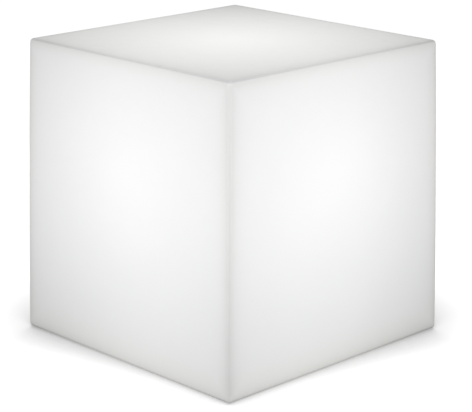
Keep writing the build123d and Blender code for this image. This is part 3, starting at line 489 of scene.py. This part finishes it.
def printed_board(name, node, tone, deep_tone, holes, hole_reach):
    """A circuit board: tracks under solder mask, plated holes, and a bare edge of glass and resin."""
    finish = Finish(name, Coat_Weight=0.3, Coat_Roughness=0.25)
    maths = finish.maths
    block_scale, one_way_kinds, other_way_kinds = 125.0, 0.32, 0.66
    track_pitch, gap_start, gap_end = 0.0011, -0.3, 0.1
    via_scale, via_size, via_soft = 190.0, 0.075, 0.01
    x, y, _ = finish.axes()
    # Blocks of the board in turn hold tracks one way, tracks the other way, and solid copper
    blocks = finish.cells(block_scale, place=finish.stretch(1.0, 1.0, 0.0), distance="CHEBYCHEV")
    kind = finish.axes(blocks["Color"])[0]
    gaps = []
    for place in (y, x):
        turns = maths("SINE", maths("MULTIPLY", place, 2 * pi / track_pitch))
        gaps.append(finish.between(turns, gap_start, gap_end, 1.0, 0.0))
    one_way = maths("MULTIPLY", gaps[0], maths("LESS_THAN", kind, one_way_kinds))
    other_way = maths("MULTIPLY", gaps[1], maths("GREATER_THAN", kind, other_way_kinds))
    gap = maths("MAXIMUM", one_way, other_way)
    via = finish.inside(finish.cells(via_scale)["Distance"], via_size, via_soft)
    plated = maths("MAXIMUM", finish.inside(holes(finish, x, y), hole_reach), via)
    edge = finish.inside(finish.facing(2), 0.5, 0.05)
    mask = finish.blend(gap, tone, deep_tone)
    mask = finish.blend(finish.spread(finish.noise(60.0), 0.0, 0.3), mask, deep_tone)
    faced = finish.blend(plated, mask, (0.80, 0.78, 0.74))
    layers = finish.noise(1.0, place=finish.stretch(300.0, 300.0, 9000.0))
    weave = finish.blend(layers, (0.52, 0.50, 0.34), (0.38, 0.36, 0.22))
    finish.set("Base Color", finish.blend(edge, faced, weave))
    finish.set("Metallic", maths("MULTIPLY", plated, maths("SUBTRACT", 1.0, edge)))
    finish.gloss(300.0, 0.28, 0.42)
    finish.relief(maths("SUBTRACT", plated, gap), 0.00003)
    dress(finish, node)


def control_board_holes(finish, x, y):
    """How far a point is from the nearest of the control board's four screw holes."""
    low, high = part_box("control_board")
    hole_inset = 0.0035
    far_x = (high.x - low.x) / 2 - hole_inset
    far_y = high.y - hole_inset
    off_x = finish.maths("SUBTRACT", finish.off(x, (low.x + high.x) / 2), far_x)
    off_y = finish.maths("SUBTRACT", finish.maths("ABSOLUTE", y), far_y)
    return finish.distance(off_x, off_y)


def led_board_holes(finish, x, y):
    """How far a point is from the nearest of the LED board's screw holes."""
    return finish.ringed(x, y, led_screw_circle, led_screw_count, radians(30.0))


def led_packages():
    """White LED packages, each with a pocket of glowing yellow phosphor."""
    finish = grained("led_package", 0.35, 0.45)
    maths = finish.maths
    pocket_radius, pocket_soft = 0.00195, 0.00005
    low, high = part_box("leds")
    x, y, z = finish.axes()
    outer = finish.ringed(x, y, led_outer_circle, led_outer_count, pi / led_outer_count)
    inner = finish.ringed(x, y, led_inner_circle, led_inner_count)
    pocket = finish.inside(maths("MINIMUM", outer, inner), pocket_radius, pocket_soft)
    pocket = maths("MULTIPLY", pocket, maths("GREATER_THAN", z, (low.z + high.z) / 2))
    phosphor = finish.mottle(1800.0, (0.95, 0.74, 0.16), (0.88, 0.62, 0.10))
    body = finish.mottle(400.0, (0.88, 0.88, 0.86), (0.78, 0.78, 0.76))
    finish.set("Base Color", finish.blend(pocket, body, phosphor))
    finish.set("Emission Color", finish.blend(pocket, black, (1.0, 0.93, 0.80)))
    finish.set("Emission Strength", 0.9)
    finish.material.cycles.emission_sampling = "NONE"
    dress(finish, "leds")


def indicator_package():
    """The charge indicator's small LED: a white body under a green window."""
    finish = grained("indicator_package", 0.3, 0.4)
    window_thickness = 0.0006
    window_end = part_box("indicator_led")[0].z + window_thickness
    window = finish.inside(finish.axes()[2], window_end)
    body = finish.mottle(600.0, (0.82, 0.83, 0.80), (0.72, 0.74, 0.70))
    finish.set("Base Color", finish.blend(window, body, (0.36, 0.62, 0.38)))
    dress(finish, "indicator_led")


def chip_epoxy(name, node):
    """Black chip epoxy with a faint dot in one corner, and tinned contacts along the foot."""
    finish = grained(name, 0.45, 0.6, grain=4000.0)
    maths = finish.maths
    dot_inset, dot_radius, dot_soft = 0.0012, 0.0004, 0.00004
    contact_pitch, contact_height, contact_inset, contact_soft = 0.0008, 0.0003, 0.0007, 0.00002
    low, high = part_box(node)
    half_side = (high.x - low.x) / 2
    x, y, z = finish.axes()
    off_x = maths("SUBTRACT", x, (low.x + high.x) / 2)
    off_y = maths("SUBTRACT", y, (low.y + high.y) / 2)
    dot_x = maths("ADD", off_x, half_side - dot_inset)
    dot_y = maths("SUBTRACT", off_y, half_side - dot_inset)
    dot = finish.inside(finish.distance(dot_x, dot_y), dot_radius, dot_soft)
    along = maths("MINIMUM", maths("ABSOLUTE", off_x), maths("ABSOLUTE", off_y))
    turns = maths("COSINE", maths("MULTIPLY", along, 2 * pi / contact_pitch))
    comb = maths("GREATER_THAN", turns, 0.0)
    comb = maths("MULTIPLY", comb, finish.inside(z, low.z + contact_height, contact_soft))
    comb = maths("MULTIPLY", comb, finish.inside(along, half_side - contact_inset, contact_soft))
    epoxy = finish.mottle(900.0, (0.038, 0.038, 0.04), (0.022, 0.022, 0.024))
    epoxy = finish.blend(dot, epoxy, (0.085, 0.085, 0.09))
    finish.set("Base Color", finish.blend(comb, epoxy, (0.72, 0.71, 0.68)))
    finish.set("Metallic", comb)
    dress(finish, node)


def ferrite():
    """A shielded inductor: a grey ferrite body with a glimpse of copper round its drum."""
    finish = grained("ferrite_grey", 0.5, 0.65, grain=2600.0)
    maths = finish.maths
    drum_radius, copper_half_width, copper_soft = 0.0038, 0.00032, 0.00005
    low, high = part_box("power_inductor")
    x, y, z = finish.axes()
    off_x = maths("SUBTRACT", x, (low.x + high.x) / 2)
    off_y = maths("SUBTRACT", y, (low.y + high.y) / 2)
    from_drum = finish.off(finish.distance(off_x, off_y), drum_radius)
    ring = finish.inside(from_drum, copper_half_width, copper_soft)
    on_top = finish.between(z, high.z - 0.0002, high.z - 0.0001, 0.0, 1.0)
    ring = maths("MULTIPLY", ring, on_top)
    grey = finish.mottle(250.0, (0.14, 0.14, 0.145), (0.08, 0.08, 0.085))
    finish.set("Base Color", finish.blend(ring, grey, (0.72, 0.36, 0.18)))
    finish.set("Metallic", ring)
    dress(finish, "power_inductor")


def capacitor_cans():
    """Aluminium cans in dark sleeves: a pale stripe down one side, and a crossed vent on the bare top."""
    finish = Finish("capacitor_can")
    maths = finish.maths
    sleeve_lip, sleeve_drop = 0.0005, 0.0004
    vent_half_width, vent_soft, vent_inset = 0.00012, 0.00004, 0.0009
    stripe_half_width, stripe_soft = 0.0009, 0.00005
    low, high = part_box("capacitors")
    radius = (high.y - low.y) / 2
    x, y, z = finish.axes()
    first, last = low.x + radius, high.x - radius
    steps = [finish.off(x, centre) for centre in (first, first + can_spacing, last)]
    near = maths("MINIMUM", maths("MINIMUM", steps[0], steps[1]), steps[2])
    off_y = maths("SUBTRACT", y, (low.y + high.y) / 2)
    reach = finish.distance(near, off_y)
    bare = finish.inside(reach, radius - sleeve_lip)
    bare = maths("MULTIPLY", bare, maths("GREATER_THAN", z, high.z - sleeve_drop))
    cross = maths("MINIMUM", near, maths("ABSOLUTE", off_y))
    cross = finish.inside(cross, vent_half_width, vent_soft)
    cross = maths("MULTIPLY", cross, finish.inside(reach, radius - vent_inset))
    stripe = finish.inside(near, stripe_half_width, stripe_soft)
    stripe = maths("MULTIPLY", maths("LESS_THAN", off_y, 0.0), stripe)
    sleeve = finish.mottle(180.0, (0.03, 0.032, 0.045), (0.018, 0.02, 0.03))
    sleeve = finish.blend(stripe, sleeve, (0.55, 0.55, 0.57))
    metal = finish.blend(maths("MULTIPLY", cross, 0.7), (0.78, 0.78, 0.79), (0.30, 0.30, 0.31))
    finish.set("Base Color", finish.blend(bare, sleeve, metal))
    finish.set("Metallic", bare)
    finish.gloss(500.0, 0.28, 0.42)
    finish.relief(maths("SUBTRACT", 1.0, maths("MULTIPLY", cross, bare)), 0.00012)
    dress(finish, "capacitors")


def cell_sleeves():
    """Battery cells in shrunk film, with bare steel ends and a white ring at each positive end."""
    finish = Finish("cell_sleeve", Coat_Weight=0.25, Coat_Roughness=0.2)
    maths = finish.maths
    film_lip, bare_radius, ring_start = 0.0002, 0.0076, 0.0042
    low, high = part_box("battery_cells")
    radius = (high.z - low.z) / 2
    x, y, z = finish.axes()
    off_y = maths("SUBTRACT", maths("ABSOLUTE", y), high.y - radius)
    reach = finish.distance(off_y, maths("SUBTRACT", z, (low.z + high.z) / 2))
    at_end = maths("GREATER_THAN", maths("ABSOLUTE", x), high.x - film_lip)
    bare = maths("MULTIPLY", at_end, finish.inside(reach, bare_radius))
    positive = maths("GREATER_THAN", maths("MULTIPLY", x, y), 0.0)
    outer = maths("SUBTRACT", 1.0, finish.inside(reach, ring_start))
    ring = maths("MULTIPLY", outer, positive)
    film = finish.mottle(35.0, (0.06, 0.24, 0.30), (0.045, 0.19, 0.25))
    ends = finish.blend(ring, (0.62, 0.62, 0.63), (0.85, 0.85, 0.83))
    finish.set("Base Color", finish.blend(bare, film, ends))
    finish.set("Metallic", maths("MULTIPLY", bare, maths("SUBTRACT", 1.0, ring)))
    finish.gloss(150.0, 0.25, 0.38)
    creases = finish.noise(1.0, place=finish.stretch(900.0, 120.0, 120.0))
    finish.relief(creases, 0.00006)
    dress(finish, "battery_cells")


def nickel_strip():
    """Nickel joining straps with pairs of weld dimples."""
    finish = worn_metal(
        "strap_nickel", (0.74, 0.72, 0.67), (0.54, 0.52, 0.48), 0.26, 0.42, (400.0, 60.0, 1600.0),
        scratched=False,
    )
    maths = finish.maths
    weld_y, weld_z, weld_radius, weld_soft = 0.0014, 0.0012, 0.0005, 0.00015
    low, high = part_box("battery_cells")
    radius = (high.z - low.z) / 2
    _, y, z = finish.axes()
    off_y = finish.off(maths("ABSOLUTE", y), high.y - radius)
    off_y = maths("SUBTRACT", off_y, weld_y)
    off_z = maths("SUBTRACT", finish.off(z, (low.z + high.z) / 2), weld_z)
    weld = finish.inside(finish.distance(off_y, off_z), weld_radius, weld_soft)
    finish.relief(maths("SUBTRACT", 1.0, weld), 0.00015)
    dress(finish, "cell_straps")


def lead_jackets(name, node, red_side, tinned_z):
    """A red and a black insulated lead, tinned where they are soldered."""
    finish = Finish(name)
    x, y, z = finish.axes()
    is_red = finish.between(red_side(finish, x, y), -0.0001, 0.0001, 0.0, 1.0)
    red = finish.mottle(140.0, (0.42, 0.02, 0.02), (0.32, 0.015, 0.015))
    dark = finish.mottle(140.0, (0.03, 0.03, 0.032), (0.018, 0.018, 0.02))
    tinned = finish.inside(z, tinned_z, 0.00005)
    jacket = finish.blend(is_red, dark, red)
    finish.set("Base Color", finish.blend(tinned, jacket, (0.74, 0.73, 0.70)))
    finish.set("Metallic", tinned)
    finish.gloss(400.0, 0.32, 0.48)
    finish.relief(finish.noise(900.0), 0.00002)
    dress(finish, node)


def by_middle(finish, x, y):
    """Over 0 on the one of two leads that lies at positive Y."""
    return y


def by_led_lead(finish, x, y):
    """Over 0 on one LED lead: the two start beside the board's pads and end in the middle."""
    pads_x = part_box("led_leads")[0].x + lead_pitch / 2 + lead_thickness / 2
    return finish.maths("SUBTRACT", x, finish.between(y, led_pad_y, grommet_y, pads_x, 0.0))


def dome_painted_glow():
    """The frosted dome over the LEDs. Their light through it is painted on as a glow, brightest over their
    two rings.
    """
    finish = Finish("dome_frosted", Roughness=0.55, IOR=1.58)
    maths = finish.maths
    glow_reach, glow_most, glow_low = 0.018, 0.88, 0.55
    climb_share, climb_low = 0.3, 0.5
    low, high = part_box("dome")
    x, y, z = finish.axes()
    reach = finish.distance(x, y)
    near = maths("MINIMUM", finish.off(reach, led_outer_circle), finish.off(reach, led_inner_circle))
    climb_end = low.z + climb_share * (high.z - low.z)
    # The LEDs' light is painted on as a glow: most over their rings, less towards the dome's foot
    glow = finish.between(near, 0.0, glow_reach, glow_most, glow_low)
    glow = maths("MULTIPLY", glow, finish.between(z, low.z, climb_end, climb_low, 1.0))
    finish.shine(finish.mottle(20.0, (1.0, 0.98, 0.94), (0.98, 0.98, 1.0)), glow)
    finish.set("Base Color", finish.mottle(12.0, (0.70, 0.70, 0.69), (0.64, 0.64, 0.64)))
    finish.relief(finish.noise(3000.0, detail=2.0), 0.00003)
    finish.material.cycles.emission_sampling = "NONE"
    dress(finish, "dome")


knurled_brass()
printed_board(
    "board_green", "control_board", (0.03, 0.20, 0.08), (0.015, 0.12, 0.045), control_board_holes, 0.0027
)
printed_board("led_board_white", "led_board", (0.84, 0.84, 0.82), (0.74, 0.74, 0.73), led_board_holes, 0.0034)
led_packages()
indicator_package()
chip_epoxy("driver_epoxy", "driver_chip")
chip_epoxy("logic_epoxy", "logic_chip")
ferrite()
capacitor_cans()
cell_sleeves()
nickel_strip()
lead_jackets("battery_lead_jackets", "battery_leads", by_middle, 0.0)
lead_jackets("socket_lead_jackets", "socket_leads", by_middle, tinned_end_z)
lead_jackets("led_lead_jackets", "led_leads", by_led_lead, tinned_end_z)
dome_painted_glow()

for name, light, dark, low, high, nodes in (
    ("socket_plastic", (0.04, 0.04, 0.043), (0.025, 0.025, 0.027), 0.28, 0.42, ["charge_socket"]),
    ("vent_plastic", (0.24, 0.245, 0.25), (0.18, 0.185, 0.19), 0.45, 0.62, ["vent_plug"]),
    ("connector_cream", (0.82, 0.78, 0.66), (0.76, 0.71, 0.58), 0.35, 0.48,
     ["battery_header", "battery_plug", "led_connector"]),
    ("tray_plastic", (0.30, 0.305, 0.31), (0.24, 0.245, 0.25), 0.45, 0.6, ["battery_tray"]),
    ("switch_plastic", (0.05, 0.05, 0.052), (0.03, 0.03, 0.032), 0.35, 0.5,
     ["tact_switch", "switch_plunger"]),
):
    dress(moulded(name, light, dark, low, high), *nodes)

for name, bright, dull, low, high, streak, nodes in (
    ("contact_nickel", (0.78, 0.76, 0.70), (0.58, 0.56, 0.51), 0.22, 0.38, (300.0, 300.0, 2200.0),
     ["socket_pin", "socket_terminals", "socket_nut"]),
    ("clamp_steel", (0.60, 0.61, 0.62), (0.42, 0.43, 0.44), 0.3, 0.5, (1800.0, 70.0, 1800.0),
     ["battery_clamp"]),
    ("plate_aluminium", (0.80, 0.80, 0.80), (0.62, 0.62, 0.63), 0.32, 0.5, (40.0, 1900.0, 1900.0),
     ["led_plate"]),
):
    dress(worn_metal(name, bright, dull, low, high, streak), *nodes)

for name, node, pitch, head in (
    ("board_screw_steel", "board_screws", 0.00045, 0.0017),
    ("tray_screw_steel", "tray_screws", 0.0005, 0.002),
    ("clamp_screw_steel", "clamp_screws", 0.00045, 0.0017),
    ("led_board_screw_steel", "led_board_screws", 0.0005, 0.002),
    ("dome_screw_steel", "dome_screws", 0.0005, 0.002),
):
    threaded_steel(name, node, pitch, head)

# ---------------------------------------------------------------- pieces that only the scene has


def placed(name, shape, finish):
    """Makes a piece of a shape, in one finish, and puts it in the scene."""
    mesh = bpy.data.meshes.new(name)
    shape.to_mesh(mesh)
    shape.free()
    mesh.materials.append(finish.material)
    piece = bpy.data.objects.new(name, mesh)
    bpy.context.scene.collection.objects.link(piece)
    return piece


def swept(name, sections, finish):
    """A closed piece through a row of sections, each a ring of as many points."""
    shape = bmesh.new()
    rings = [[shape.verts.new(point) for point in section] for section in sections]
    for ring, following in zip(rings, rings[1:]):
        for place in range(len(ring)):
            onward = (place + 1) % len(ring)
            shape.faces.new((ring[place], ring[onward], following[onward], following[place]))
    shape.faces.new(reversed(rings[0]))
    shape.faces.new(rings[-1])
    bmesh.ops.recalc_face_normals(shape, faces=shape.faces)
    piece = placed(name, shape, finish)
    piece.data.shade_smooth()
    return piece


def flap_web():
    """The thin web of silicone that joins the flap's strap to its anchor."""
    turn = next(joint for joint in frame["joints"] if joint["name"] == "flap_hinge")
    hinge = Vector(turn["pos_m"])
    # Millimetres from the hinge: the web starts inside the strap and ends inside the anchor
    millimetre = 0.001
    start_ahead, end_ahead = -1.4, 1.8
    start_level, end_level = 0.35, 1.2
    width, thickness, steps = 5.2, 0.3, 12
    # The strip's section with its corners cut, in halves of the width and in thicknesses
    corners = (
        (1, 0.25), (0.94, 0.5), (-0.94, 0.5), (-1, 0.25),
        (-1, -0.25), (-0.94, -0.5), (0.94, -0.5), (1, -0.25),
    )
    profile = [(across * width / 2, up * thickness) for across, up in corners]
    sections = []
    for step in range(steps + 1):
        share = step / steps
        eased = share * share * (3 - 2 * share)
        ahead = start_ahead + share * (end_ahead - start_ahead)
        level = start_level + eased * (end_level - start_level)
        sections.append([hinge + Vector((across, ahead, level + up)) * millimetre for across, up in profile])
    web = swept("flap_web", sections, flap_silicone)
    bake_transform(web)


def solder_joint(name, x, y, finish):
    """A drop of solder drawn up round a lead where it stands on its pad."""
    base_radius, top_radius, clearance, height = 0.00125, lead_thickness / 2, 0.00003, 0.0011
    flare, steps, sides = 2.2, 6, 24
    sections = []
    for step in range(steps + 1):
        share = step / steps
        radius = top_radius + clearance + (base_radius - top_radius) * (1 - share) ** flare
        level = board_top_z + height * share
        ring = []
        for number in range(sides):
            turn = 2 * pi * number / sides
            ring.append(Vector((x + radius * cos(turn), y + radius * sin(turn), level)))
        sections.append(ring)
    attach(swept(name, sections, finish), "lamp")


flap_web()
solder = worn_metal("solder", (0.74, 0.74, 0.72), (0.56, 0.56, 0.55), 0.18, 0.34, (500.0, 500.0, 500.0))
socket_pad_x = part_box("socket_leads")[0].x + lead_thickness / 2
socket_pad_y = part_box("socket_leads")[1].y - lead_thickness / 2
led_pad_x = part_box("led_leads")[0].x + lead_thickness / 2
pads = (
    (socket_pad_x, socket_pad_y), (socket_pad_x, -socket_pad_y),
    (led_pad_x, led_pad_y), (led_pad_x + lead_pitch, led_pad_y),
)
for number, (pad_x, pad_y) in enumerate(pads, start=1):
    solder_joint("solder_joint_%d" % number, pad_x, pad_y, solder)

# ---------------------------------------------------------------- floor, light and camera


def seen_directly(tree):
    """1 for rays from the lens, from gloss and through glass, and 0 for rays that carry light."""
    rays = tree.nodes.new("ShaderNodeLightPath")
    share = rays.outputs["Is Camera Ray"]
    for kind in ("Is Glossy Ray", "Is Transmission Ray"):
        either = tree.nodes.new("ShaderNodeMath")
        either.operation = "MAXIMUM"
        tree.links.new(share, either.inputs[0])
        tree.links.new(rays.outputs[kind], either.inputs[1])
        share = either.outputs[0]
    return share


def white_floor():
    """A plain pale floor, lifted to white where it is seen, except in a painted soft shadow round the cube.
    """
    finish = Finish("floor", Roughness=0.9, Specular_IOR_Level=0.0)
    maths = finish.maths
    shelter = finish.add("ShaderNodeAmbientOcclusion", samples=8)
    # How open the floor is to the sky: half at the foot of a wall, and fully away from it
    at_wall, in_the_open = 0.5, 1.0
    x, y, _ = finish.axes()
    behind = maths("DIVIDE", maths("SUBTRACT", y, x), sqrt(2))
    reach = finish.between(behind, shadow_front, shadow_back, shadow_reach_front, shadow_reach_back)
    finish.feed(shelter.inputs["Distance"], reach)
    depth = finish.between(behind, shadow_front, shadow_back, shadow_depth_front, shadow_depth_back)
    # The occlusion darkens the floor's colour and its lift: a painted shadow round the cube
    painted_shadow = finish.between(shelter.outputs["AO"], at_wall, in_the_open, 1.0, 0.0)
    outside_painted_shadow = maths("SUBTRACT", 1.0, maths("MULTIPLY", painted_shadow, depth))
    finish.set("Base Color", finish.blend(outside_painted_shadow, black, (floor_grey, floor_grey, floor_grey)))
    finish.set("Emission Color", white)
    lift = maths("MULTIPLY", outside_painted_shadow, floor_lift)
    finish.set("Emission Strength", maths("MULTIPLY", seen_directly(finish.tree), lift))
    return finish


def lay_floor():
    """The floor that the cube stands on."""
    shape = bmesh.new()
    bmesh.ops.create_grid(shape, x_segments=1, y_segments=1, size=floor_half)
    floor = placed("floor", shape, white_floor())


def light_world():
    """A soft white light from all round, which looks fully white where it is seen."""
    world = bpy.data.worlds.new("studio")
    world.use_nodes = True
    tree = world.node_tree
    bpy.context.scene.world = world
    strength = tree.nodes.new("ShaderNodeMapRange")
    strength.inputs["To Min"].default_value = world_light
    strength.inputs["To Max"].default_value = world_seen
    tree.links.new(seen_directly(tree), strength.inputs["Value"])
    sky = tree.nodes["Background"]
    sky.inputs["Color"].default_value = (*white, 1.0)
    tree.links.new(strength.outputs["Result"], sky.inputs["Strength"])


def softbox(name, place, aim, size, power):
    """A square lamp that isn't seen itself, with its side in metres and its power in watts."""
    lamp = bpy.data.lights.new(name, "AREA")
    lamp.shape = "SQUARE"
    lamp.size = size
    lamp.energy = power
    holder = bpy.data.objects.new(name, lamp)
    holder.location = place
    holder.visible_camera = False
    holder.visible_glossy = False
    holder.rotation_mode = "QUATERNION"
    holder.rotation_quaternion = (Vector(aim) - Vector(place)).to_track_quat("-Z", "Y")
    bpy.context.scene.collection.objects.link(holder)


def shifted_camera():
    """The camera at the photograph's place. A stand carries the lens's downward shift as a shear."""
    ahead = Vector((-sin(camera_azimuth), cos(camera_azimuth), 0.0))
    level_back = Vector((0.0, 0.0, sin(lens_pitch))) - ahead * cos(lens_pitch)
    right = Vector((cos(camera_azimuth), sin(camera_azimuth), 0.0))
    up = level_back.cross(right)
    place = right * camera_side_step - ahead * camera_distance
    place.z = camera_height
    roll = Matrix.Rotation(lens_roll, 3, level_back)
    right = roll @ right
    up = roll @ up
    focal_pixels = hypot(lens_pixels, lens_drop_pixels)
    back = (level_back * lens_pixels + up * lens_drop_pixels) / focal_pixels
    lens = bpy.data.cameras.new("camera")
    lens.sensor_fit = "HORIZONTAL"
    lens.lens = lens.sensor_width * focal_pixels / photo_width
    camera = bpy.data.objects.new("camera", lens)
    stand = bpy.data.objects.new("camera_stand", None)
    for thing in (camera, stand):
        bpy.context.scene.collection.objects.link(thing)
    square_up = back.cross(right)
    straight = Matrix((right, square_up, back)).transposed()
    leaning = Matrix((right, up, back)).transposed()
    shear = (leaning @ straight.inverted()).to_4x4()
    there = Matrix.Translation(place)
    camera.parent = stand
    camera.matrix_parent_inverse = there @ shear @ there.inverted()
    camera.matrix_basis = there @ straight.to_4x4()
    bpy.context.scene.camera = camera


lay_floor()
light_world()
softbox("front_softbox", (0.75, -0.75, 0.5), (0.1, -0.1, 0.25), 0.5, 3.0)
softbox("rear_softbox", (-0.75, 0.75, 0.15), (-0.1, 0.1, 0.2), 0.5, 3.4)
softbox("overhead_softbox", (0.5, -0.5, 0.95), (0, 0, 0.4), 0.6, 1.55)
shifted_camera()
bpy.context.scene.view_settings.view_transform = "Standard"
